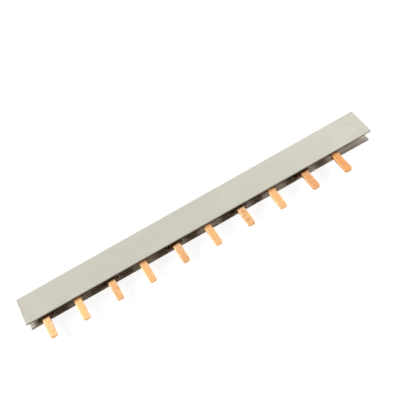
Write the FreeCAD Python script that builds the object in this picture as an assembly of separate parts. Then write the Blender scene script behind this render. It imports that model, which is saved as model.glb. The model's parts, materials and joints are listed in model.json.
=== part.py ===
"""Two-pole comb busbar for a row of circuit breakers, in millimetres.

An extruded plastic profile with an E section holds two punched copper combs, one above
the other. Their teeth alternate along one row. The teeth of the upper comb run straight
out. Those of the lower comb step up in front of the web, so that all the tongues lie in
nearly one plane.

Frame: X runs along the bar, the teeth point to -Y and +Z is up. The bar lies on its
lower flange, with the origin under the middle of the whole part.
"""
import FreeCAD, Part
import math
import os
from FreeCAD import Vector

# Row of teeth
TOOTH_COUNT = 10
TOOTH_PITCH = 17.8
LEFT_OVERHANG = 8.9
RIGHT_OVERHANG = 20.5
LOWER_COMB_SHIFT = 0.4

# Insulating profile
PROFILE_DEPTH = 15.2
FLANGE_THICKNESS = 1.1
WEB_THICKNESS = 1.0
BACK_WALL_THICKNESS = 1.2
WEB_SETBACK = 2.0
BACK_CORNER_RADIUS = 0.9
CHAMBER_CORNER_RADIUS = 0.2
LIP_EDGE_RADIUS = 0.25
LIP_LENGTH = 2.7
LIP_TAPER = 0.12

# Copper sheet and its fit in a chamber
COPPER_THICKNESS = 1.6
CLEARANCE_ABOVE_COPPER = 0.7
CLEARANCE_TO_CHAMBER_CORNER = 0.1
STRIP_END_SETBACK = 3.0
STRIP_WIDTH = 8.0
STRIP_CORNER_RADIUS = 0.5

# Teeth
HEAD_WIDTH = 7.3
ROOT_RADIUS = 0.8
NECK_RADIUS = 0.5
TONGUE_WIDTH = 3.6
TIP_RADIUS = 1.2
TIP_BEVEL = 0.35
UPPER_HEAD_SETBACK = 0.7
LOWER_HEAD_SETBACK = 0.1
UPPER_TONGUE_REACH = 12.1
LOWER_TONGUE_REACH = 11.5

# Step of the lower teeth
STEP_ANGLE = 60.0
STEP_INNER_RADIUS = 0.8
STEP_START_BEHIND_WEB_FRONT = 0.4
TONGUE_PLANE_DROP = 0.3

# Points of an outline closer than this are one point.
SAME_POINT = 1e-6

# Places that follow from the sizes above
CHAMBER_HEIGHT = COPPER_THICKNESS + CLEARANCE_ABOVE_COPPER
LOWER_FLOOR = FLANGE_THICKNESS
WEB_BOTTOM = LOWER_FLOOR + CHAMBER_HEIGHT
UPPER_FLOOR = WEB_BOTTOM + WEB_THICKNESS
UPPER_CEILING = UPPER_FLOOR + CHAMBER_HEIGHT
PROFILE_HEIGHT = UPPER_CEILING + FLANGE_THICKNESS

PROFILE_LENGTH = LEFT_OVERHANG + (TOOTH_COUNT - 1) * TOOTH_PITCH + RIGHT_OVERHANG
LEFT_END = -PROFILE_LENGTH / 2
RIGHT_END = PROFILE_LENGTH / 2
FIRST_TOOTH = LEFT_END + LEFT_OVERHANG

# The part's middle in Y lies between the back wall and the tips of the upper tongues.
WHOLE_DEPTH = PROFILE_DEPTH + max(UPPER_TONGUE_REACH, LOWER_TONGUE_REACH)
BACK = WHOLE_DEPTH / 2
FRONT = BACK - PROFILE_DEPTH
CHAMBER_BACK = BACK - BACK_WALL_THICKNESS
WEB_FRONT = FRONT + WEB_SETBACK
STRIP_BACK = CHAMBER_BACK - CHAMBER_CORNER_RADIUS - CLEARANCE_TO_CHAMBER_CORNER
STRIP_FRONT = STRIP_BACK - STRIP_WIDTH


def round_corner(before, corner, after, radius):
    """Give the two tangent points and the middle of the arc that rounds a corner."""
    to_before = (before - corner).normalize()
    to_after = (after - corner).normalize()
    half_angle = to_before.getAngle(to_after) / 2
    setback = radius / math.tan(half_angle)
    start = corner + to_before * setback
    end = corner + to_after * setback
    to_centre = (to_before + to_after).normalize()
    centre = corner + to_centre * (radius / math.sin(half_angle))
    return start, centre - to_centre * radius, end


def rounded_outline(corners):
    """Make a closed face from (point, radius) corners, each with its own rounding."""
    edges = []
    stretches = []
    for index, (corner, radius) in enumerate(corners):
        before = corners[index - 1][0]
        after = corners[(index + 1) % len(corners)][0]
        if radius > 0:
            start, middle, end = round_corner(before, corner, after, radius)
            stretches.append((start, middle, end))
        else:
            stretches.append((corner, None, corner))
    for index, (start, middle, end) in enumerate(stretches):
        if middle is not None:
            edges.append(Part.Arc(start, middle, end).toShape())
        next_start = stretches[(index + 1) % len(stretches)][0]
        if end.distanceToPoint(next_start) > SAME_POINT:
            edges.append(Part.LineSegment(end, next_start).toShape())
    return Part.Face(Part.Wire(edges))


def side_corner(y, z, radius=0.0):
    """Place a corner of a section that is seen from the end of the bar."""
    return Vector(LEFT_END, y, z), radius


def plan_corner(x, y, radius=0.0):
    """Place a corner of an outline that is seen from above."""
    return Vector(x, y, 0), radius


def make_profile():
    """Extrude the E section: two flanges, a back wall and a web that stops short."""
    section = rounded_outline([
        side_corner(BACK, 0, BACK_CORNER_RADIUS),
        side_corner(BACK, PROFILE_HEIGHT, BACK_CORNER_RADIUS),
        side_corner(FRONT + LIP_LENGTH, PROFILE_HEIGHT),
        side_corner(FRONT, PROFILE_HEIGHT - LIP_TAPER, LIP_EDGE_RADIUS),
        side_corner(FRONT, UPPER_CEILING, LIP_EDGE_RADIUS),
        side_corner(CHAMBER_BACK, UPPER_CEILING, CHAMBER_CORNER_RADIUS),
        side_corner(CHAMBER_BACK, UPPER_FLOOR, CHAMBER_CORNER_RADIUS),
        side_corner(WEB_FRONT, UPPER_FLOOR, LIP_EDGE_RADIUS),
        side_corner(WEB_FRONT, WEB_BOTTOM, LIP_EDGE_RADIUS),
        side_corner(CHAMBER_BACK, WEB_BOTTOM, CHAMBER_CORNER_RADIUS),
        side_corner(CHAMBER_BACK, LOWER_FLOOR, CHAMBER_CORNER_RADIUS),
        side_corner(FRONT, LOWER_FLOOR, LIP_EDGE_RADIUS),
        side_corner(FRONT, LIP_TAPER, LIP_EDGE_RADIUS),
        side_corner(FRONT + LIP_LENGTH, 0),
    ])
    return section.extrude(Vector(PROFILE_LENGTH, 0, 0))


def tooth_places(first_index, shift):
    """List the middles of every second tooth of the row, from left to right."""
    return [FIRST_TOOTH + index * TOOTH_PITCH + shift
            for index in range(first_index, TOOTH_COUNT, 2)]


def make_comb_plan(places, shoulder, tip):
    """Outline a comb from above: a strip, and on it a wide head and tongue per tooth."""
    head = HEAD_WIDTH / 2
    tongue = TONGUE_WIDTH / 2
    shoulder_radius = head - tongue - NECK_RADIUS
    strip_left = LEFT_END + STRIP_END_SETBACK
    strip_right = RIGHT_END - STRIP_END_SETBACK
    corners = [
        plan_corner(strip_right, STRIP_FRONT, STRIP_CORNER_RADIUS),
        plan_corner(strip_right, STRIP_BACK, STRIP_CORNER_RADIUS),
        plan_corner(strip_left, STRIP_BACK, STRIP_CORNER_RADIUS),
        plan_corner(strip_left, STRIP_FRONT, STRIP_CORNER_RADIUS),
    ]
    for x in places:
        corners += [
            plan_corner(x - head, STRIP_FRONT, ROOT_RADIUS),
            plan_corner(x - head, shoulder, shoulder_radius),
            plan_corner(x - tongue, shoulder, NECK_RADIUS),
            plan_corner(x - tongue, tip, TIP_RADIUS),
            plan_corner(x + tongue, tip, TIP_RADIUS),
            plan_corner(x + tongue, shoulder, NECK_RADIUS),
            plan_corner(x + head, shoulder, shoulder_radius),
            plan_corner(x + head, STRIP_FRONT, ROOT_RADIUS),
        ]
    return rounded_outline(corners)


def make_upper_comb():
    """Punch the straight comb, which lies on the web."""
    shoulder = FRONT + UPPER_HEAD_SETBACK
    tip = FRONT - UPPER_TONGUE_REACH
    top = UPPER_FLOOR + COPPER_THICKNESS
    plan = make_comb_plan(tooth_places(1, 0), shoulder, tip)
    plan.translate(Vector(0, 0, UPPER_FLOOR))
    blank = plan.extrude(Vector(0, 0, COPPER_THICKNESS))
    section = rounded_outline([
        side_corner(STRIP_BACK, UPPER_FLOOR),
        side_corner(STRIP_BACK, top),
        side_corner(tip + TIP_BEVEL, top),
        side_corner(tip, top - TIP_BEVEL),
        side_corner(tip, UPPER_FLOOR + TIP_BEVEL),
        side_corner(tip + TIP_BEVEL, UPPER_FLOOR),
    ])
    return blank.common(section.extrude(Vector(PROFILE_LENGTH, 0, 0)))


def make_lower_comb():
    """Punch and step the other comb, which lies on the lower flange."""
    shoulder = FRONT + LOWER_HEAD_SETBACK
    tip = FRONT - LOWER_TONGUE_REACH
    step_rise = CHAMBER_HEIGHT + WEB_THICKNESS - TONGUE_PLANE_DROP
    tongue_bottom = LOWER_FLOOR + step_rise
    tongue_top = tongue_bottom + COPPER_THICKNESS
    strip_top = LOWER_FLOOR + COPPER_THICKNESS
    inner_radius = STEP_INNER_RADIUS
    outer_radius = STEP_INNER_RADIUS + COPPER_THICKNESS

    # The bends of the two faces share their centres, so the sheet keeps its thickness.
    angle = math.radians(STEP_ANGLE)
    corner_lead = math.tan(angle / 2)
    step_start = WEB_FRONT + STEP_START_BEHIND_WEB_FRONT
    top_first = step_start - inner_radius * corner_lead
    bottom_first = step_start - outer_radius * corner_lead
    step_run = step_rise / math.tan(angle)

    plan = make_comb_plan(tooth_places(0, LOWER_COMB_SHIFT), shoulder, tip)
    plan.translate(Vector(0, 0, LOWER_FLOOR))
    blank = plan.extrude(Vector(0, 0, tongue_top - LOWER_FLOOR))
    section = rounded_outline([
        side_corner(STRIP_BACK, LOWER_FLOOR),
        side_corner(STRIP_BACK, strip_top),
        side_corner(top_first, strip_top, inner_radius),
        side_corner(top_first - step_run, tongue_top, outer_radius),
        side_corner(tip + TIP_BEVEL, tongue_top),
        side_corner(tip, tongue_top - TIP_BEVEL),
        side_corner(tip, tongue_bottom + TIP_BEVEL),
        side_corner(tip + TIP_BEVEL, tongue_bottom),
        side_corner(bottom_first - step_run, tongue_bottom, inner_radius),
        side_corner(bottom_first, LOWER_FLOOR, outer_radius),
    ])
    return blank.common(section.extrude(Vector(PROFILE_LENGTH, 0, 0)))


def single_solid(shape):
    """Hand back the one solid that a piece must be."""
    shape = shape.removeSplitter()
    if len(shape.Solids) != 1 or not shape.isValid():
        raise ValueError("a piece is not one valid solid")
    return shape.Solids[0]


os.makedirs("parts", exist_ok=True)
PIECES = {
    "insulating_profile": make_profile(),
    "upper_comb": make_upper_comb(),
    "lower_comb": make_lower_comb(),
}
for name, shape in PIECES.items():
    solid = single_solid(shape)
    box = solid.BoundBox
    solid.exportStep("parts/" + name + ".step")
    print(name, "volume %.1f mm3" % solid.Volume,
          "X %.2f..%.2f" % (box.XMin, box.XMax),
          "Y %.2f..%.2f" % (box.YMin, box.YMax),
          "Z %.2f..%.2f" % (box.ZMin, box.ZMax))
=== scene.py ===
# %% [markdown]
# # A comb busbar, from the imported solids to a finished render
#
# A comb busbar feeds a row of circuit breakers. A pale plastic profile with an E section
# holds two copper combs, one above the other, and their teeth alternate along one row.
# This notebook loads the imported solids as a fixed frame, and then rebuilds each piece as a
# mesh that is fine enough to be seen from close by. The solids give the places and the outer
# sizes, and walls, radii and gaps repeat their values.

# %% Load the frame
import json
import math

import bmesh
import bpy
from mathutils import Matrix, Vector


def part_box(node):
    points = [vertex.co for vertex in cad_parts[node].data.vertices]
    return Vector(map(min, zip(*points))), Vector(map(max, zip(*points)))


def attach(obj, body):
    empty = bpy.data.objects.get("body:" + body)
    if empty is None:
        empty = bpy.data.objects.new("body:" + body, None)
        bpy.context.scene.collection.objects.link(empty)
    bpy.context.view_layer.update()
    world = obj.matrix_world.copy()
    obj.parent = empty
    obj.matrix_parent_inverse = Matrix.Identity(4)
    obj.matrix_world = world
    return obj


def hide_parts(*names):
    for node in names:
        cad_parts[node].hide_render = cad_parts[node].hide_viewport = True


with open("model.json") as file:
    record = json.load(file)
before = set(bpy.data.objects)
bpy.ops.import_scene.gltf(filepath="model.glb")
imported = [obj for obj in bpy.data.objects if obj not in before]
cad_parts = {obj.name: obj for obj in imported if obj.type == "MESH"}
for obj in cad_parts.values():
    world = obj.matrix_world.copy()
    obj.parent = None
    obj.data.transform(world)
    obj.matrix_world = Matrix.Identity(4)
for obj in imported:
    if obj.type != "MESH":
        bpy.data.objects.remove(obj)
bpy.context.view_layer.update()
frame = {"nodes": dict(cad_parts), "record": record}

print("solids:", sorted(frame["nodes"]))

# %% [markdown]
# ## Millimetres
#
# The pieces are small and thin, so they are modelled in millimetres and brought to metres
# at the very end. Bevels and thicknesses then have handy numbers. The places come from the
# boxes of the solids and from the record's mounts, which mark the tip of every tooth.

# %% Places in millimetres
MM = 0.001


def box_in_mm(node):
    low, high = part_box(node)
    return low / MM, high / MM


PROFILE_LOW, PROFILE_HIGH = box_in_mm("insulating_profile")
UPPER_LOW, UPPER_HIGH = box_in_mm("upper_comb")
LOWER_LOW, LOWER_HIGH = box_in_mm("lower_comb")

tips = [Vector(mount["pos_m"]) / MM for mount in frame["record"]["mounts"]
        if mount["name"].startswith("tooth_")]
tips.sort(key=lambda tip: tip.x)
LOWER_TEETH = [tip.x for tip in tips[0::2]]
UPPER_TEETH = [tip.x for tip in tips[1::2]]
print("teeth:", len(LOWER_TEETH), "stepped and", len(UPPER_TEETH), "straight")

# %% [markdown]
# ## Helpers that every piece uses
#
# A piece starts as a bmesh in millimetres. `finish_piece` welds it, runs its modifiers, shrinks
# it to metres in its mesh, and leaves the object at the origin, as the solids' own objects are.
# Weighted normals keep the wide flat faces flat where they run into small round edges.

# %% Helpers for meshes
SMOOTH_LIMIT = math.radians(40)
WELD_DISTANCE = 0.01


def object_from(bm, name):
    mesh = bpy.data.meshes.new(name)
    bm.to_mesh(mesh)
    bm.free()
    piece = bpy.data.objects.new(name, mesh)
    bpy.context.scene.collection.objects.link(piece)
    return piece


def run_modifiers(piece):
    bpy.context.view_layer.update()
    graph = bpy.context.evaluated_depsgraph_get()
    finished = bpy.data.meshes.new_from_object(piece.evaluated_get(graph))
    piece.modifiers.clear()
    piece.data = finished


def weld(mesh):
    """Merge the points that a bevel left on top of each other."""
    bm = bmesh.new()
    bm.from_mesh(mesh)
    bmesh.ops.remove_doubles(bm, verts=bm.verts, dist=WELD_DISTANCE)
    bmesh.ops.dissolve_degenerate(bm, edges=bm.edges, dist=WELD_DISTANCE / 2)
    open_edges = sum(not edge.is_manifold for edge in bm.edges)
    print("edges that aren't closed:", open_edges)
    bm.to_mesh(mesh)
    bm.free()


def finish_piece(piece, node):
    mesh = piece.data
    weld(mesh)
    mesh.polygons.foreach_set("use_smooth", [True] * len(mesh.polygons))
    mesh.set_sharp_from_angle(angle=SMOOTH_LIMIT)
    weighted = piece.modifiers.new("flat faces stay flat", "WEIGHTED_NORMAL")
    weighted.keep_sharp = True
    run_modifiers(piece)
    piece.data.transform(Matrix.Scale(MM, 4))
    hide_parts(node)
    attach(piece, "root")
    triangles = sum(len(polygon.vertices) - 2 for polygon in piece.data.polygons)
    print(piece.name, "stands for", node, "with", triangles, "triangles")


# %% [markdown]
# ## The extruded profile
#
# The real profile is squeezed out of a die, so every cross-section is the same E: two
# flanges, a back wall, and a web that stops short of the front. A box with pieces cut out
# would also give this form. Here the E is drawn once as a flat face and extruded along the
# bar, as the die does it, and the long edges are then bevelled with the die's own radii.

# %% Section of the profile
FLANGE_THICKNESS = 1.1
WEB_THICKNESS = 1.0
BACK_WALL_THICKNESS = 1.2
WEB_SETBACK = 2.0
LIP_LENGTH = 2.7
LIP_TAPER = 0.12
BACK_RADIUS = 0.9
CHAMBER_RADIUS = 0.2
LIP_RADIUS = 0.25

front = PROFILE_LOW.y
back = PROFILE_HIGH.y
top = PROFILE_HIGH.z
chamber_back = back - BACK_WALL_THICKNESS
web_bottom = (top - WEB_THICKNESS) / 2
web_top = (top + WEB_THICKNESS) / 2
web_front = front + WEB_SETBACK

# Each corner is (y, z, radius), and the list goes once round the E.
E_SECTION = [
    (back, 0, BACK_RADIUS),
    (back, top, BACK_RADIUS),
    (front + LIP_LENGTH, top, 0),
    (front, top - LIP_TAPER, LIP_RADIUS),
    (front, top - FLANGE_THICKNESS, LIP_RADIUS),
    (chamber_back, top - FLANGE_THICKNESS, CHAMBER_RADIUS),
    (chamber_back, web_top, CHAMBER_RADIUS),
    (web_front, web_top, LIP_RADIUS),
    (web_front, web_bottom, LIP_RADIUS),
    (chamber_back, web_bottom, CHAMBER_RADIUS),
    (chamber_back, FLANGE_THICKNESS, CHAMBER_RADIUS),
    (front, FLANGE_THICKNESS, LIP_RADIUS),
    (front, LIP_TAPER, LIP_RADIUS),
    (front + LIP_LENGTH, 0, 0),
]
BEVEL_STEPS = {BACK_RADIUS: 10, LIP_RADIUS: 6, CHAMBER_RADIUS: 4}
CLOSE = 1e-3
print("the E has", len(E_SECTION), "corners, and its web lies from", round(web_bottom, 2),
      "to", round(web_top, 2), "mm")


def long_edges_at(bm, corners):
    """Find the edges along the bar that stand on the given corners of the section."""
    found = []
    for edge in bm.edges:
        first, second = edge.verts
        if abs(first.co.x - second.co.x) < CLOSE:
            continue
        if any(abs(first.co.y - y) + abs(first.co.z - z) < CLOSE for y, z in corners):
            found.append(edge)
    return found


# %% Extrude and round the profile
bm = bmesh.new()
outline = [bm.verts.new((PROFILE_LOW.x, y, z)) for y, z, _ in E_SECTION]
section = bm.faces.new(outline)
grown = bmesh.ops.extrude_face_region(bm, geom=[section])
moved = [item for item in grown["geom"] if isinstance(item, bmesh.types.BMVert)]
bmesh.ops.translate(bm, verts=moved, vec=(PROFILE_HIGH.x - PROFILE_LOW.x, 0, 0))
for radius, steps in BEVEL_STEPS.items():
    corners = [(y, z) for y, z, corner_radius in E_SECTION if corner_radius == radius]
    bmesh.ops.bevel(bm, geom=long_edges_at(bm, corners), offset=radius, segments=steps,
                    profile=0.5, affect="EDGES", material=-1)
print("rounded section:", max(len(face.verts) for face in bm.faces), "corners")

# %% [markdown]
# The bar was cut to length with a saw, and its ends show it. The lower flange's inner edge is
# chamfered at both cuts, the rim of each cut is broken, and the back corners are knocked a
# little round. The two bevels come first, because they need the straight edges.

# %% Traces of the saw
CUT_CHAMFER = 0.3
SAWN_EDGE = 0.05
WORN_CORNER = 1.0
WORN_DEPTH = 0.5

cut_edges = [edge for edge in bm.edges
             if all(abs(vert.co.z - FLANGE_THICKNESS) < CLOSE for vert in edge.verts)
             and abs(edge.verts[0].co.x - edge.verts[1].co.x) < CLOSE]
bmesh.ops.bevel(bm, geom=cut_edges, offset=CUT_CHAMFER, segments=2,
                profile=0.5, affect="EDGES", material=-1)
sawn_faces = [face for face in bm.faces if len(face.verts) > 4
              and max(vert.co.x for vert in face.verts)
              - min(vert.co.x for vert in face.verts) < CLOSE]
sawn_rim = {edge for face in sawn_faces for edge in face.edges}
bmesh.ops.bevel(bm, geom=list(sawn_rim), offset=SAWN_EDGE, segments=2,
                profile=0.5, affect="EDGES", material=-1)
for vert in bm.verts:
    worn = max(vert.co.y - (back - WORN_CORNER), 0) / WORN_CORNER
    if abs(vert.co.x) > PROFILE_HIGH.x - 2 * SAWN_EDGE:
        vert.co.x -= math.copysign(WORN_DEPTH * worn ** 2, vert.co.x)
bmesh.ops.recalc_face_normals(bm, faces=bm.faces)
profile = object_from(bm, "extruded_profile")
finish_piece(profile, "insulating_profile")

# %% [markdown]
# ## The copper combs
#
# Each comb is punched from sheet copper: a strip with a wide head and a narrow tongue per
# tooth. The lower comb's teeth are also stepped upwards in a press. One could cut the comb
# out of a thick plate, but a press works on a thin blank, and so do the next cells. The blank
# is the sheet's middle surface. Each tooth grows out of the strip's edge by extruding that
# edge from station to station, and only then is the sheet given its thickness.

# %% Sizes of the combs
COPPER_THICKNESS = UPPER_HIGH.z - UPPER_LOW.z
STRIP_WIDTH = 8.0
HEAD_HALF = 3.65
TONGUE_HALF = 1.8
ROOT_RADIUS = 0.8
NECK_RADIUS = 0.5
SHOULDER_RADIUS = HEAD_HALF - TONGUE_HALF - NECK_RADIUS
TIP_RADIUS = 1.2
UPPER_SHOULDER = front + 0.7
LOWER_SHOULDER = front + 0.1
STEP_ANGLE = math.radians(60)
INNER_BEND_RADIUS = 0.8
STEP_RADIUS = INNER_BEND_RADIUS + COPPER_THICKNESS / 2
STEP_START = web_front + 0.4
LOWER_STRIP_Z = LOWER_LOW.z + COPPER_THICKNESS / 2
LOWER_TONGUE_Z = LOWER_HIGH.z - COPPER_THICKNESS / 2
UPPER_Z = UPPER_LOW.z + COPPER_THICKNESS / 2
ARC_STEPS = 7
TONGUE_STEP = 1.0
strip_back = UPPER_HIGH.y
strip_front = strip_back - STRIP_WIDTH
print("sheet", round(COPPER_THICKNESS, 2), "mm thick, tongues", 2 * TONGUE_HALF, "mm wide")


def half_width(y, shoulder, tip):
    """Give half the width of a tooth, with its round corners, at a place along it."""
    root_end = strip_front - ROOT_RADIUS
    if y > root_end:
        return HEAD_HALF + ROOT_RADIUS - math.sqrt(ROOT_RADIUS ** 2 - (y - root_end) ** 2)
    if y > shoulder + SHOULDER_RADIUS:
        return HEAD_HALF
    if y > shoulder:
        fall = shoulder + SHOULDER_RADIUS - y
        return HEAD_HALF - SHOULDER_RADIUS + math.sqrt(SHOULDER_RADIUS ** 2 - fall ** 2)
    if y > shoulder - NECK_RADIUS:
        rest = y - shoulder + NECK_RADIUS
        return TONGUE_HALF + NECK_RADIUS - math.sqrt(NECK_RADIUS ** 2 - rest ** 2)
    if y > tip + TIP_RADIUS:
        return TONGUE_HALF
    fall = tip + TIP_RADIUS - y
    return TONGUE_HALF - TIP_RADIUS + math.sqrt(max(TIP_RADIUS ** 2 - fall ** 2, 0))


# %% [markdown]
# A step has two bends with a straight slant between them. The middle surface follows two
# arcs that touch the slant, so its height is worked out from the place along the tooth.

# %% Height of the stepped sheet
step_rise = LOWER_TONGUE_Z - LOWER_STRIP_Z
bend_run = STEP_RADIUS * math.sin(STEP_ANGLE)
bend_rise = STEP_RADIUS * (1 - math.cos(STEP_ANGLE))
slant_run = (step_rise - 2 * bend_rise) / math.tan(STEP_ANGLE)
STEP_END = STEP_START - 2 * bend_run - slant_run
print("the step rises", round(step_rise, 2), "mm over", round(STEP_START - STEP_END, 2), "mm")


def stepped_height(y):
    run = STEP_START - y
    if run <= 0:
        return LOWER_STRIP_Z
    if run < bend_run:
        return LOWER_STRIP_Z + STEP_RADIUS - math.sqrt(STEP_RADIUS ** 2 - run ** 2)
    if run < bend_run + slant_run:
        return LOWER_STRIP_Z + bend_rise + (run - bend_run) * math.tan(STEP_ANGLE)
    if y > STEP_END:
        return LOWER_TONGUE_Z - STEP_RADIUS + math.sqrt(STEP_RADIUS ** 2 - (y - STEP_END) ** 2)
    return LOWER_TONGUE_Z


# %% [markdown]
# The stations lie close together in the round corners and in the bends, and a millimetre
# apart along the tongue. Two stations that nearly meet are one.

# %% Stations along a tooth
STATION_GAP = 0.03
SKIN_BORDER = 0.1


def arc_places(start, run):
    """Space the places over a quarter arc, closer where the arc turns away."""
    quarter = math.pi / 2
    return [start - run * math.sin(quarter * step / ARC_STEPS) for step in range(ARC_STEPS + 1)]


def stations(shoulder, tip, stepped):
    places = [strip_front - ROOT_RADIUS * (1 - math.cos(math.pi / 2 * step / ARC_STEPS))
              for step in range(ARC_STEPS + 1)]
    places += arc_places(shoulder + SHOULDER_RADIUS, SHOULDER_RADIUS)
    places += [2 * shoulder - NECK_RADIUS - place
               for place in arc_places(shoulder, NECK_RADIUS)]
    places += arc_places(tip + TIP_RADIUS, TIP_RADIUS)
    places.append(shoulder - NECK_RADIUS - SKIN_BORDER)
    if stepped:
        for step in range(ARC_STEPS + 1):
            lean = STEP_RADIUS * math.sin(STEP_ANGLE * step / ARC_STEPS)
            places += [STEP_START - lean, STEP_END + lean]
    place = shoulder - TONGUE_STEP
    while place > tip + TIP_RADIUS:
        places.append(place)
        place -= TONGUE_STEP
    kept = []
    for place in sorted(places, reverse=True):
        if not kept or kept[-1] - place > STATION_GAP:
            kept.append(place)
    kept[-1] = tip
    return kept


print("stations on a stepped tooth:", len(stations(LOWER_SHOULDER, LOWER_LOW.y, True)))

# %% [markdown]
# Real teeth are never perfectly in line. Each tooth is turned by up to 1.2 degrees about its
# shoulder, as read off the photograph, and shortened a little so that it stays inside the box
# of its solid. The press also leaves the stepped tongues slightly wavy. Strip and heads keep
# the brown skin of metal that nobody touches, and an attribute on the mesh marks where it is.
# The same attribute places painted shade on the heads, which lie in shade under the top flange.

# %% Grow a tooth
PRESS_WAVE_HEIGHT = 0.035
PRESS_WAVE_LENGTH = 3.4
SKIN_AND_SHADE = "dark_skin_and_shade"


def press_wave(y):
    """Give the height of the press's waves, which fade in along the tongue."""
    along = STEP_END - y
    if along <= 0:
        return 0.0
    fade = min(along / PRESS_WAVE_LENGTH, 1)
    return PRESS_WAVE_HEIGHT * fade * math.sin(2 * math.pi * along / PRESS_WAVE_LENGTH)


def grow_tooth(bm, x, turn, shoulder, tip, stepped):
    """Extrude the strip's front edge at this tooth from station to station."""
    reach = HEAD_HALF + ROOT_RADIUS
    turn = math.radians(turn)
    tip += abs(math.sin(turn)) * (TONGUE_HALF - TIP_RADIUS)
    edge = next(edge for edge in bm.edges
                if all(abs(vert.co.y - strip_front) < CLOSE for vert in edge.verts)
                and all(abs(abs(vert.co.x - x) - reach) < CLOSE for vert in edge.verts))
    skin_and_shade = bm.verts.layers.float[SKIN_AND_SHADE]
    turned = []
    for place in stations(shoulder, tip, stepped)[1:]:
        grown = bmesh.ops.extrude_edge_only(bm, edges=[edge])["geom"]
        edge = next(item for item in grown if isinstance(item, bmesh.types.BMEdge))
        height = stepped_height(place) + press_wave(place) if stepped else UPPER_Z
        for vert in edge.verts:
            side = 1 if vert.co.x > x else -1
            vert.co = (x + side * half_width(place, shoulder, tip), place, height)
            vert[skin_and_shade] = 1.0 if place > shoulder - NECK_RADIUS - CLOSE else 0.0
            if place < shoulder:
                turned.append(vert)
    bmesh.ops.rotate(bm, verts=turned, cent=(x, shoulder, 0),
                     matrix=Matrix.Rotation(turn, 3, "Z"))


# %% [markdown]
# The blank starts as its back edge, with a point on both sides of every tooth. That edge is
# extruded once to the width of the strip, and each tooth then grows out of its own piece of
# the front edge.

# %% Blank of a comb
def make_blank(name, low, high, teeth, turns, shoulder, stepped):
    bm = bmesh.new()
    skin_and_shade = bm.verts.layers.float.new(SKIN_AND_SHADE)
    reach = HEAD_HALF + ROOT_RADIUS
    strip_z = LOWER_STRIP_Z if stepped else UPPER_Z
    cuts = [low.x] + [x + side * reach for x in teeth for side in (-1, 1)] + [high.x]
    back_row = [bm.verts.new((x, strip_back, strip_z)) for x in cuts]
    back_edges = [bm.edges.new(pair) for pair in zip(back_row, back_row[1:])]
    grown = bmesh.ops.extrude_edge_only(bm, edges=back_edges)["geom"]
    front_row = [item for item in grown if isinstance(item, bmesh.types.BMVert)]
    bmesh.ops.translate(bm, verts=front_row, vec=(0, -STRIP_WIDTH, 0))
    for vert in bm.verts:
        vert[skin_and_shade] = 1.0
    for x, turn in zip(teeth, turns):
        grow_tooth(bm, x, turn, shoulder, low.y, stepped)
    bmesh.ops.recalc_face_normals(bm, faces=bm.faces)
    print("blank of", name, "with", len(bm.faces), "faces")
    return object_from(bm, name)


# %% [markdown]
# Solidify gives the sheet its thickness, and hands its rim to the second material slot, so
# the punched edge can have a finish of its own. Then the tips are pinched thinner, as the
# press does to help them into a terminal, and the punched edges are broken by a small bevel.
# The bevel isn't clamped, because the short faces in the bends would shrink it to nothing.

# %% Thickness, tips and edges of a comb
PINCH_LENGTH = 0.45
PINCH_DEPTH = 0.3
COPPER_EDGE = 0.14
PUNCHED_CORNER = math.radians(50)


def thicken(comb):
    comb.data.materials.append(None)
    comb.data.materials.append(None)
    sheet = comb.modifiers.new("sheet thickness", "SOLIDIFY")
    sheet.thickness = COPPER_THICKNESS
    sheet.offset = 0
    sheet.use_even_offset = True
    sheet.use_quality_normals = True
    sheet.material_offset_rim = 1
    run_modifiers(comb)


def pinch_tips(comb, tip, middle):
    for vert in comb.data.vertices:
        depth = tip + PINCH_LENGTH - vert.co.y
        if depth > 0:
            share = min(depth / PINCH_LENGTH, 1) ** 2
            thin = 1 - share * PINCH_DEPTH / (COPPER_THICKNESS / 2)
            vert.co.z = middle + (vert.co.z - middle) * thin


def break_edges(comb):
    edges = comb.modifiers.new("punched edge", "BEVEL")
    edges.width = COPPER_EDGE
    edges.segments = 3
    edges.limit_method = "ANGLE"
    edges.angle_limit = PUNCHED_CORNER
    edges.use_clamp_overlap = False
    run_modifiers(comb)


# %% Make both combs
LOWER_TURNS = [0.7, 0.7, 0.8, 0.3, 0.7]
UPPER_TURNS = [1.0, 0.9, 0.7, -1.2, 0.0]


def make_comb(name, node, low, high, teeth, turns, shoulder, stepped):
    comb = make_blank(name, low, high, teeth, turns, shoulder, stepped)
    thicken(comb)
    pinch_tips(comb, low.y, LOWER_TONGUE_Z if stepped else UPPER_Z)
    break_edges(comb)
    finish_piece(comb, node)
    return comb


upper_copper = make_comb("upper_copper_comb", "upper_comb", UPPER_LOW, UPPER_HIGH,
                         UPPER_TEETH, UPPER_TURNS, UPPER_SHOULDER, False)
lower_copper = make_comb("lower_copper_comb", "lower_comb", LOWER_LOW, LOWER_HIGH,
                         LOWER_TEETH, LOWER_TURNS, LOWER_SHOULDER, True)

# %% [markdown]
# ## Finishes
#
# Every finish reads Object coordinates, so it sticks to its piece. The coordinates are first
# brought to millimetres. Noise that is stretched along one axis gives die lines, rolling
# grain and scratches, and unstretched it gives clouds and smudges. So one node group makes
# all of them, and each finish places it with values of its own.

# %% Helpers for node trees
def add_node(tree, kind, **settings):
    node = tree.nodes.new(kind)
    for name, value in settings.items():
        setattr(node, name, value)
    return node


def set_inputs(node, **values):
    for name, value in values.items():
        node.inputs[name.replace("_", " ")].default_value = value
    return node


def join(tree, value, socket):
    """Link a socket to an input, or write a plain number or colour into it."""
    if isinstance(value, bpy.types.NodeSocket):
        tree.links.new(value, socket)
    else:
        socket.default_value = value


def mix_colours(tree, factor, first, second):
    node = add_node(tree, "ShaderNodeMix", data_type="RGBA")
    for index, value in ((0, factor), (6, first), (7, second)):
        join(tree, value, node.inputs[index])
    return node.outputs[2]


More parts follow.
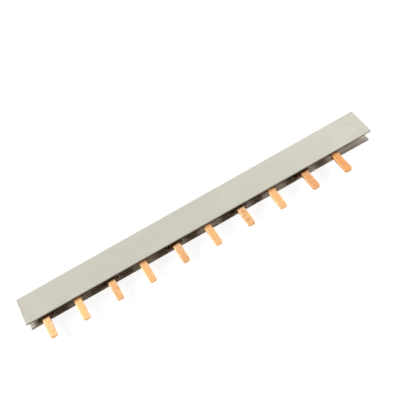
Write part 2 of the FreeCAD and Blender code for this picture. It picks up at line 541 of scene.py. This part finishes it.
def map_range(tree, value, low, high, new_low=0.0, new_high=1.0):
    node = add_node(tree, "ShaderNodeMapRange")
    for index, number in enumerate((value, low, high, new_low, new_high)):
        join(tree, number, node.inputs[index])
    return node.outputs[0]


def combine(tree, operation, first, second):
    node = add_node(tree, "ShaderNodeMath", operation=operation)
    join(tree, first, node.inputs[0])
    join(tree, second, node.inputs[1])
    return node.outputs[0]


# %% Node group: stretched noise
# Stretch is in waves per millimetre along each axis. Low and High set where the mask starts
# and where it is full.
stretched_noise = bpy.data.node_groups.new("stretched_noise", "ShaderNodeTree")
for socket_name, kind, value in (
        ("Millimetres", "NodeSocketVector", (0, 0, 0)),
        ("Stretch", "NodeSocketVector", (1, 1, 1)), ("Detail", "NodeSocketFloat", 3.0),
        ("Low", "NodeSocketFloat", 0.35), ("High", "NodeSocketFloat", 0.65)):
    made = stretched_noise.interface.new_socket(socket_name, in_out="INPUT", socket_type=kind)
    made.default_value = value
stretched_noise.interface.new_socket("Mask", in_out="OUTPUT", socket_type="NodeSocketFloat")
group_in = add_node(stretched_noise, "NodeGroupInput")
group_out = add_node(stretched_noise, "NodeGroupOutput")
scaled = add_node(stretched_noise, "ShaderNodeVectorMath", operation="MULTIPLY")
join(stretched_noise, group_in.outputs["Millimetres"], scaled.inputs[0])
join(stretched_noise, group_in.outputs["Stretch"], scaled.inputs[1])
noise = set_inputs(add_node(stretched_noise, "ShaderNodeTexNoise"), Scale=1.0, Roughness=0.6)
join(stretched_noise, scaled.outputs[0], noise.inputs["Vector"])
join(stretched_noise, group_in.outputs["Detail"], noise.inputs["Detail"])
mask = map_range(stretched_noise, noise.outputs["Fac"], group_in.outputs["Low"],
                 group_in.outputs["High"])
join(stretched_noise, mask, group_out.inputs["Mask"])
print("group", stretched_noise.name, "with", len(stretched_noise.nodes), "nodes")


# %% Start a material
def new_material(name):
    """Make a material, and hand back its tree, its shader and its place in millimetres."""
    material = bpy.data.materials.new(name)
    material.use_nodes = True
    tree = material.node_tree
    shader = tree.nodes["Principled BSDF"]
    coordinates = add_node(tree, "ShaderNodeTexCoord")
    millimetres = add_node(tree, "ShaderNodeVectorMath", operation="SCALE")
    millimetres.inputs["Scale"].default_value = 1 / MM
    tree.links.new(coordinates.outputs["Object"], millimetres.inputs[0])
    parted = add_node(tree, "ShaderNodeSeparateXYZ")
    tree.links.new(millimetres.outputs[0], parted.inputs[0])
    return material, tree, shader, millimetres.outputs[0], parted.outputs


def noise_mask(tree, millimetres, stretch, detail=3.0, low=0.35, high=0.65):
    node = add_node(tree, "ShaderNodeGroup", node_tree=stretched_noise)
    set_inputs(node, Stretch=stretch, Detail=detail, Low=low, High=high)
    tree.links.new(millimetres, node.inputs["Millimetres"])
    return node.outputs["Mask"]


def add_relief(tree, shader, height, strength, distance):
    """Turn a height map into small bumps, with the distance in millimetres."""
    relief = set_inputs(add_node(tree, "ShaderNodeBump"), Strength=strength,
                        Distance=distance * MM)
    tree.links.new(height, relief.inputs["Height"])
    tree.links.new(relief.outputs[0], shader.inputs["Normal"])


def give(piece, *finishes):
    piece.data.materials.clear()
    for finish in finishes:
        piece.data.materials.append(finish)
    print(piece.name, "wears", ", ".join(finish.name for finish in finishes))


# %% [markdown]
# ## Pale plastic
#
# The profile is rigid PVC in a warm light grey with a dull sheen. One colour alone would look
# like a toy, so the finish is built up in layers. Each layer is a mask, the share of it that
# shows, and a colour. The photograph shows lines along the bar from the die, a cloudy tone,
# warm patches and a few smudges.

# %% Colours of the plastic
PLASTIC = (0.670, 0.655, 0.565, 1)
PLASTIC_DIM = (0.588, 0.570, 0.486, 1)
PLASTIC_WARM = (0.650, 0.618, 0.540, 1)
PLASTIC_RUBBED = (0.625, 0.572, 0.500, 1)
PLASTIC_SAWN = (0.80, 0.78, 0.70, 1)
# Warmer inside the chambers: partly grime, partly painted warm light thrown back by the copper.
PLASTIC_INSIDE_AND_BOUNCE = (0.715, 0.645, 0.558, 1)
INSIDE_STREAK = (0.42, 0.35, 0.28, 1)
# Near white at the cut: partly a pale burr, partly a painted highlight where the edge catches
# the light.
CUT_BURR_AND_HIGHLIGHT = (0.95, 0.94, 0.90, 1)
SMUDGE = (0.40, 0.375, 0.32, 1)


def paint_layers(tree, colour, layers):
    """Lay colours over each other. A layer is a mask, the share that shows, and a colour."""
    for mask, share, tint in layers:
        colour = mix_colours(tree, map_range(tree, mask, 0, 1, 0, share), colour, tint)
    return colour


# %% Masks all over the plastic
plastic, tree, shader, millimetres, place = new_material("pale_pvc")
die_lines = noise_mask(tree, millimetres, (0.012, 2.2, 2.2), detail=4.0)
wide_lines = noise_mask(tree, millimetres, (0.010, 0.35, 0.35), detail=1.0)
clouds = noise_mask(tree, millimetres, (0.07, 0.13, 0.13), detail=3.0)
tints = noise_mask(tree, millimetres, (0.05, 0.09, 0.09), detail=1.0, low=0.45, high=0.62)
smudges = noise_mask(tree, millimetres, (0.12, 0.24, 0.24), detail=3.0, low=0.62, high=0.78)
specks = noise_mask(tree, millimetres, (0.9, 2.4, 2.4), detail=5.0, low=0.69, high=0.76)
print(plastic.name, "has", len(tree.nodes), "nodes so far")

# %% [markdown]
# The ends were sawn by hand. The cut is paler and rougher than the skin from the die, with
# the saw's marks across it. The vice and the saw's foot rubbed a narrow strip beside the cut,
# and left fine scratches that slant across the right end, so their pattern is turned first.

# %% Masks near the sawn ends
RUBBED_STRIP = 4.5
RUBBED_FADE = 0.6
SCRATCHED_STRIP = 12.0
SCRATCHED_FADE = 3.0
SCRATCH_SLANT = math.radians(20)

half_length = PROFILE_HIGH.x
from_middle = combine(tree, "ABSOLUTE", place["X"], 0.0)
sawn = map_range(tree, from_middle, half_length - 2 * SAWN_EDGE, half_length - SAWN_EDGE)
saw_marks = noise_mask(tree, millimetres, (1.0, 0.4, 7.0), detail=3.0)
mottle = noise_mask(tree, millimetres, (0.55, 0.55, 0.55), detail=4.0, low=0.42, high=0.60)
near_end = map_range(tree, from_middle, half_length - RUBBED_STRIP - RUBBED_FADE,
                     half_length - RUBBED_STRIP + RUBBED_FADE)
rubbed = combine(tree, "MULTIPLY", near_end, mottle)

slanted = add_node(tree, "ShaderNodeMapping")
slanted.inputs["Rotation"].default_value = (0, 0, SCRATCH_SLANT)
tree.links.new(millimetres, slanted.inputs["Vector"])
scratches = noise_mask(tree, slanted.outputs[0], (0.16, 3.0, 1.0), detail=2.0,
                       low=0.61, high=0.66)
near_right = map_range(tree, place["X"], half_length - SCRATCHED_STRIP - SCRATCHED_FADE,
                       half_length - SCRATCHED_STRIP + SCRATCHED_FADE)
scratched = combine(tree, "MULTIPLY", scratches, near_right)
print("rubbed", RUBBED_STRIP, "mm and scratched", SCRATCHED_STRIP, "mm from the cut")

# %% [markdown]
# The chambers are browner than the outside and streaked along the bar. The brown is partly
# grime from the bare copper that was slid in along them and partly painted warm light that
# the copper throws back on them. Three ramps mark them: under the top flange, above the foot
# of the lower lip, and in front of the back wall. A near-white strip lines their edge at the
# cut, partly a pale burr and partly a painted highlight where the edge catches the light.

# %% Masks of the chambers
# Each pair is where a ramp starts and where it ends, in millimetres.
TOP_FLANGE_RAMP = (top - FLANGE_THICKNESS + 0.02, top - FLANGE_THICKNESS + 0.12)
LIP_FOOT_RAMP = (0.3, 0.7)
BACK_WALL_RAMP = (chamber_back + 0.1, chamber_back + 0.3)
CUT_MARGIN = 0.45
CUT_FADE = 0.1

under_top = map_range(tree, place["Z"], *TOP_FLANGE_RAMP, 1, 0)
above_foot = map_range(tree, place["Z"], *LIP_FOOT_RAMP)
before_back = map_range(tree, place["Y"], *BACK_WALL_RAMP, 1, 0)
chamber = combine(tree, "MULTIPLY", under_top, above_foot)
chamber = combine(tree, "MULTIPLY", chamber, before_back)
streaks = noise_mask(tree, millimetres, (0.02, 1.2, 1.2), low=0.44, high=0.58)
# The strip at the cut carries the burr and its painted highlight.
burr_and_highlight = map_range(tree, from_middle, half_length - CUT_MARGIN - CUT_FADE,
                 half_length - CUT_MARGIN)
print("the burr's strip is", CUT_MARGIN, "mm wide")

# %% Material: pale plastic
DIE_ROUGHNESS = (0.54, 0.62)
RUBBED_ROUGHER = 0.08
SAWN_ROUGHNESS = 0.8

outside_colour = paint_layers(tree, PLASTIC, (
    (clouds, 0.40, PLASTIC_DIM), (wide_lines, 0.12, PLASTIC_DIM), (die_lines, 0.12, PLASTIC_DIM),
    (tints, 0.45, PLASTIC_WARM), (rubbed, 0.80, PLASTIC_RUBBED), (smudges, 0.16, SMUDGE),
    (specks, 0.30, SMUDGE), (scratched, 0.70, SMUDGE)))
inside_and_bounce_colour = paint_layers(tree, PLASTIC_INSIDE_AND_BOUNCE, ((streaks, 0.75, INSIDE_STREAK),
                                                    (burr_and_highlight, 1.0, CUT_BURR_AND_HIGHLIGHT)))
cut_colour = paint_layers(tree, PLASTIC_SAWN, ((saw_marks, 0.5, PLASTIC),))
colour = mix_colours(tree, chamber, outside_colour, inside_and_bounce_colour)
colour = mix_colours(tree, sawn, colour, cut_colour)
tree.links.new(colour, shader.inputs["Base Color"])

set_inputs(shader, Specular_IOR_Level=0.3)
roughness = map_range(tree, die_lines, 0, 1, *DIE_ROUGHNESS)
roughness = combine(tree, "ADD", roughness, map_range(tree, rubbed, 0, 1, 0, RUBBED_ROUGHER))
roughness = combine(tree, "MAXIMUM", roughness, map_range(tree, sawn, 0, 1, 0, SAWN_ROUGHNESS))
tree.links.new(roughness, shader.inputs["Roughness"])
height = combine(tree, "ADD", die_lines, combine(tree, "MULTIPLY", sawn, saw_marks))
height = combine(tree, "SUBTRACT", height, combine(tree, "MULTIPLY", specks, 0.6))
add_relief(tree, shader, height, strength=0.25, distance=0.04)
give(profile, plastic)

# %% [markdown]
# ## Bare copper
#
# The sheet was rolled along the strip, so its grain runs along the bar and crosses every
# tongue. Sliding into terminals leaves bright lines the other way. Strip and heads have a
# brown skin, which ends where the tongues start, and its colour is darkened to near black as
# painted shade for the heads under the top flange. The stepped tongues get a painted highlight
# just past the bend, and the press dulled them in blotches and bands, so they are redder than
# the straight ones. The last tongues at the right end are painted duller, as painted shade
# for the weaker reflection that they catch.

# %% Colours of the copper
STRAIGHT_BRIGHT = (0.88, 0.53, 0.250, 1)
STRAIGHT_DEEP = (0.83, 0.46, 0.195, 1)
STEPPED_BRIGHT = (0.90, 0.57, 0.285, 1)
STEPPED_DEEP = (0.70, 0.335, 0.140, 1)
TARNISH = (0.50, 0.22, 0.10, 1)
# Near black: the brown oxide of the heads, darkened further as painted shade for the shade under
# the top flange.
SKIN_AND_PAINTED_SHADE = (0.026, 0.011, 0.006, 1)
BRIGHT_LINE = (0.93, 0.56, 0.30, 1)
PRESS_DULL = (0.60, 0.28, 0.14, 1)
# Painted highlight along the stepped tongues just past the bend.
BEND_HIGHLIGHT = (0.96, 0.67, 0.36, 1)
# Painted shade: the tongues at the right end are darkened for their weaker reflection.
RIGHT_END_SHADE = (0.66, 0.29, 0.105, 1)

# %% [markdown]
# The skin and its painted shade come from the attribute that the teeth were given as they
# grew. Noise shifts its border a little, because the bare metal never starts along a straight
# line. The skin is an oxide, so it is only partly metallic.

# %% Mask of the dark skin and its painted shade
SKIN_UNEVEN = 0.25
SKIN_FADE = 0.15
SKIN_METAL = 0.55


def skin_and_shade_mask(tree, millimetres):
    """Read the mesh's attribute for the skin and its painted shade, and make its border a little
    uneven.
    """
    attribute = add_node(tree, "ShaderNodeAttribute", attribute_name=SKIN_AND_SHADE)
    uneven = noise_mask(tree, millimetres, (1.2, 1.2, 1.2), low=0.3, high=0.7)
    border = combine(tree, "ADD", attribute.outputs["Fac"],
                     map_range(tree, uneven, 0, 1, -SKIN_UNEVEN, SKIN_UNEVEN))
    return map_range(tree, border, 0.5 - SKIN_FADE, 0.5 + SKIN_FADE)


# %% Material: rolled copper
# Painted shade grows from here to full towards the right end, in millimetres along the bar.
RIGHT_END_SHADE_FROM = 42.0
RIGHT_END_SHADE_FULL = 62.0
# Painted highlight: it fades in along the tongue past the bend, in millimetres.
BEND_HIGHLIGHT_FROM = STEP_END - 0.2
BEND_HIGHLIGHT_TO = STEP_END - 1.6
PATCH_SHARE = 0.35
GRAIN_ROUGHNESS = (0.32, 0.44)
BAND_ROUGHER = 0.10
SKIN_ROUGHER = 0.15


def make_copper(name, bright, deep, band_share, bend_highlight_share):
    material, tree, shader, millimetres, place = new_material(name)
    blotches = noise_mask(tree, millimetres, (0.85, 0.65, 0.85), detail=4.0, low=0.40, high=0.60)
    patches = noise_mask(tree, millimetres, (0.22, 0.3, 0.3), low=0.4, high=0.68)
    grain = noise_mask(tree, millimetres, (0.25, 5.0, 5.0), detail=4.0)
    slides = noise_mask(tree, millimetres, (6.0, 0.2, 1.0), detail=4.0, low=0.5, high=0.75)
    bands = noise_mask(tree, millimetres, (0.12, 0.75, 0.2), detail=2.0, low=0.5, high=0.7)
    bend_highlight = map_range(tree, place["Y"], BEND_HIGHLIGHT_TO, BEND_HIGHLIGHT_FROM)
    right_end_shade = map_range(tree, place["X"], RIGHT_END_SHADE_FROM, RIGHT_END_SHADE_FULL)
    skin_and_shade = skin_and_shade_mask(tree, millimetres)

    worn = combine(tree, "ADD", map_range(tree, patches, 0, 1, 0, PATCH_SHARE),
                   map_range(tree, blotches, 0, 1, 0, 1 - PATCH_SHARE))
    colour = paint_layers(tree, mix_colours(tree, worn, bright, deep), (
        (bend_highlight, bend_highlight_share, BEND_HIGHLIGHT), (right_end_shade, 0.8, RIGHT_END_SHADE), (grain, 0.18, TARNISH),
        (bands, band_share, PRESS_DULL), (slides, 0.35, BRIGHT_LINE)))
    skin_and_shade_colour = paint_layers(tree, SKIN_AND_PAINTED_SHADE, ((grain, 0.25, TARNISH),))
    tree.links.new(mix_colours(tree, skin_and_shade, colour, skin_and_shade_colour), shader.inputs["Base Color"])
    tree.links.new(map_range(tree, skin_and_shade, 0, 1, 1.0, SKIN_METAL), shader.inputs["Metallic"])

    set_inputs(shader, Specular_IOR_Level=0.25)
    roughness = map_range(tree, grain, 0, 1, *GRAIN_ROUGHNESS)
    roughness = combine(tree, "ADD", roughness, map_range(tree, bands, 0, 1, 0, BAND_ROUGHER))
    roughness = combine(tree, "ADD", roughness, map_range(tree, skin_and_shade, 0, 1, 0, SKIN_ROUGHER))
    tree.links.new(roughness, shader.inputs["Roughness"])
    height = combine(tree, "ADD", grain, combine(tree, "MULTIPLY", slides, 0.5))
    add_relief(tree, shader, height, strength=0.3, distance=0.03)
    print(name, "has", len(tree.nodes), "nodes")
    return material


upper_finish = make_copper("upper_bare_copper", STRAIGHT_BRIGHT, STRAIGHT_DEEP,
                           band_share=0.15, bend_highlight_share=0.0)
lower_finish = make_copper("lower_bare_copper", STEPPED_BRIGHT, STEPPED_DEEP,
                           band_share=0.7, bend_highlight_share=0.8)

# %% [markdown]
# A punch shears the sheet part of the way, which leaves smooth bright metal, and then tears
# the rest, which leaves a dull rough patch. Soft noise decides where the tear wins, because
# a worn tool leaves no straight border between the two.

# %% Material: punched edge
SHEARED = (0.78, 0.38, 0.17, 1)
TORN = (0.52, 0.24, 0.11, 1)
TORN_FROM = 0.44
TORN_FULL = 0.59
EDGE_ROUGHNESS = (0.32, 0.55)


def make_punched_edge(name):
    material, tree, shader, millimetres, _ = new_material(name)
    strokes = noise_mask(tree, millimetres, (4.5, 4.5, 0.5), detail=3.0)
    tears = noise_mask(tree, millimetres, (2.2, 2.2, 2.2), detail=4.0)
    torn = noise_mask(tree, millimetres, (1.2, 1.2, 0.9), detail=1.0,
                      low=TORN_FROM, high=TORN_FULL)
    skin_and_shade = skin_and_shade_mask(tree, millimetres)
    colour = paint_layers(tree, SHEARED, ((torn, 1.0, TORN), (strokes, 0.3, TARNISH),
                                          (skin_and_shade, 1.0, SKIN_AND_PAINTED_SHADE)))
    tree.links.new(colour, shader.inputs["Base Color"])
    tree.links.new(map_range(tree, skin_and_shade, 0, 1, 1.0, SKIN_METAL), shader.inputs["Metallic"])
    tree.links.new(map_range(tree, torn, 0, 1, *EDGE_ROUGHNESS), shader.inputs["Roughness"])
    height = combine(tree, "ADD", strokes, combine(tree, "MULTIPLY", tears, torn))
    add_relief(tree, shader, height, strength=0.4, distance=0.05)
    return material


punched_edge = make_punched_edge("punched_copper_edge")
give(upper_copper, upper_finish, punched_edge)
give(lower_copper, lower_finish, punched_edge)

# %% [markdown]
# ## Floor, light and camera
#
# The photograph shows the bar on plain white. The floor and the world look white to the
# camera, and to the rays that metal reflects, and the floor still takes the bar's shadow. To
# the light itself both are dark, so little light comes back up into the open front, which
# lies in shade. Near the bar the floor is a touch under white, so that the shadow can show.

# %% Which rays see the background
def background_rays(tree):
    """Give 1 for the rays that are to see plain white, and 0 for the light itself."""
    paths = add_node(tree, "ShaderNodeLightPath")
    seen = combine(tree, "MAXIMUM", paths.outputs["Is Camera Ray"],
                   paths.outputs["Is Glossy Ray"])
    return combine(tree, "MAXIMUM", seen, paths.outputs["Is Transmission Ray"])


# %% Floor
FLOOR_SIZE = 4.0
FLOOR_SHADE = 0.22
GLOW_NEAR = 0.90
GLOW_FULL = 1.0
NEAR_BAR = 0.12
FAR_FROM_BAR = 0.40
bm = bmesh.new()
bmesh.ops.create_grid(bm, x_segments=1, y_segments=1, size=FLOOR_SIZE / 2)
floor = object_from(bm, "floor")
white_floor = bpy.data.materials.new("white_floor")
white_floor.use_nodes = True
tree = white_floor.node_tree
shader = tree.nodes["Principled BSDF"]
set_inputs(shader, Base_Color=(FLOOR_SHADE, FLOOR_SHADE, FLOOR_SHADE, 1), Roughness=1.0,
           Specular_IOR_Level=0.0, Emission_Color=(1, 1, 1, 1))
coordinates = add_node(tree, "ShaderNodeTexCoord")
distance = add_node(tree, "ShaderNodeVectorMath", operation="LENGTH")
tree.links.new(coordinates.outputs["Object"], distance.inputs[0])
glow = map_range(tree, distance.outputs["Value"], NEAR_BAR, FAR_FROM_BAR,
                 GLOW_NEAR, GLOW_FULL)
tree.links.new(combine(tree, "MULTIPLY", background_rays(tree), glow),
               shader.inputs["Emission Strength"])
floor.data.materials.append(white_floor)
print("floor", FLOOR_SIZE, "m across")

# %% World
WORLD_LIGHT = 0.05
world = bpy.data.worlds.new("white_studio")
bpy.context.scene.world = world
world.use_nodes = True
tree = world.node_tree
background = tree.nodes["Background"]
background.inputs["Color"].default_value = (1, 1, 1, 1)
tree.links.new(map_range(tree, background_rays(tree), 0, 1, WORLD_LIGHT, 1.0),
               background.inputs["Strength"])
print("the world lights the bar with a strength of", WORLD_LIGHT)

# %% [markdown]
# Two large soft boxes give most of the light. They stand behind the bar, to its left and to
# its right, so its open front lies in shade. They keep well away from the directions that the
# tongues mirror, or the copper would burn out. A small weak lamp at the right reaches the
# lower flange past the lip and throws the shadows of the heads on it, and a still weaker one
# shines into the right end.


# %% Lights
def add_soft_box(name, place, size, power, aim):
    light = bpy.data.lights.new(name, "AREA")
    light.shape = "DISK"
    light.size = size
    light.energy = power
    lamp = bpy.data.objects.new(name, light)
    lamp.location = place
    lamp.rotation_euler = (Vector(aim) - Vector(place)).to_track_quat("-Z", "Y").to_euler()
    bpy.context.scene.collection.objects.link(lamp)
    print(name, "gives", power, "W")


# Each lamp has a name, a place, a size across, a power in watts and a point it is aimed at.
LAMPS = (
    ("back_left_soft_box", (-1.02, 0.68, 0.78), 0.70, 23.8, (0, 0, 0)),
    ("right_soft_box", (1.40, 0.38, 0.88), 0.72, 9.9, (0, 0, 0)),
    ("small_side_light", (0.33, -0.08, 0.17), 0.05, 0.42, (0.06, 0, 0)),
    ("small_end_light", (0.30, -0.08, 0.05), 0.06, 0.08, (0.08, 0, 0)),
)
for lamp_values in LAMPS:
    add_soft_box(*lamp_values)

# %% [markdown]
# The camera's place was fitted to the tooth middles and the corners of the sawn end. The
# bar fills only part of the photograph's frame, off its middle, so the lens is shifted.

# %% Fitted values of the camera
FRAME_PIXELS = 416
SENSOR_WIDTH = 36.0
CAMERA_AZIMUTH = math.radians(4.00)
CAMERA_ELEVATION = math.radians(59.87)
CAMERA_ROLL = math.radians(-25.96)
CAMERA_DISTANCE = 0.2775
CAMERA_AIM = Vector((-0.0300, 0.00879, 0))
FOCAL_PIXELS = 559.2
CENTRE_PIXEL_X = 139.9
CENTRE_PIXEL_Y = 248.5
print("the camera stands", CAMERA_DISTANCE, "m from the point it is aimed at")

# %% Directions of the camera
forward = Vector((math.sin(CAMERA_AZIMUTH) * math.cos(CAMERA_ELEVATION),
                  math.cos(CAMERA_AZIMUTH) * math.cos(CAMERA_ELEVATION),
                  -math.sin(CAMERA_ELEVATION)))
level_right = Vector((math.cos(CAMERA_AZIMUTH), -math.sin(CAMERA_AZIMUTH), 0))
level_up = level_right.cross(forward)
right = math.cos(CAMERA_ROLL) * level_right + math.sin(CAMERA_ROLL) * level_up
up = math.cos(CAMERA_ROLL) * level_up - math.sin(CAMERA_ROLL) * level_right
print("the camera looks along", tuple(round(value, 3) for value in forward))

# %% Camera
camera_data = bpy.data.cameras.new("camera")
camera_data.sensor_width = SENSOR_WIDTH
camera_data.lens = FOCAL_PIXELS / FRAME_PIXELS * SENSOR_WIDTH
camera_data.shift_x = (FRAME_PIXELS / 2 - CENTRE_PIXEL_X) / FRAME_PIXELS
camera_data.shift_y = (CENTRE_PIXEL_Y - FRAME_PIXELS / 2) / FRAME_PIXELS
camera_data.clip_start = 0.01
camera = bpy.data.objects.new("camera", camera_data)
turned = Matrix((right, up, -forward)).transposed().to_4x4()
turned.translation = CAMERA_AIM - forward * CAMERA_DISTANCE
camera.matrix_world = turned
bpy.context.scene.collection.objects.link(camera)
bpy.context.scene.camera = camera
bpy.context.scene.view_settings.view_transform = "Standard"
print("lens %.1f mm, shift %.3f and %.3f" % (camera_data.lens, camera_data.shift_x,
                                             camera_data.shift_y))
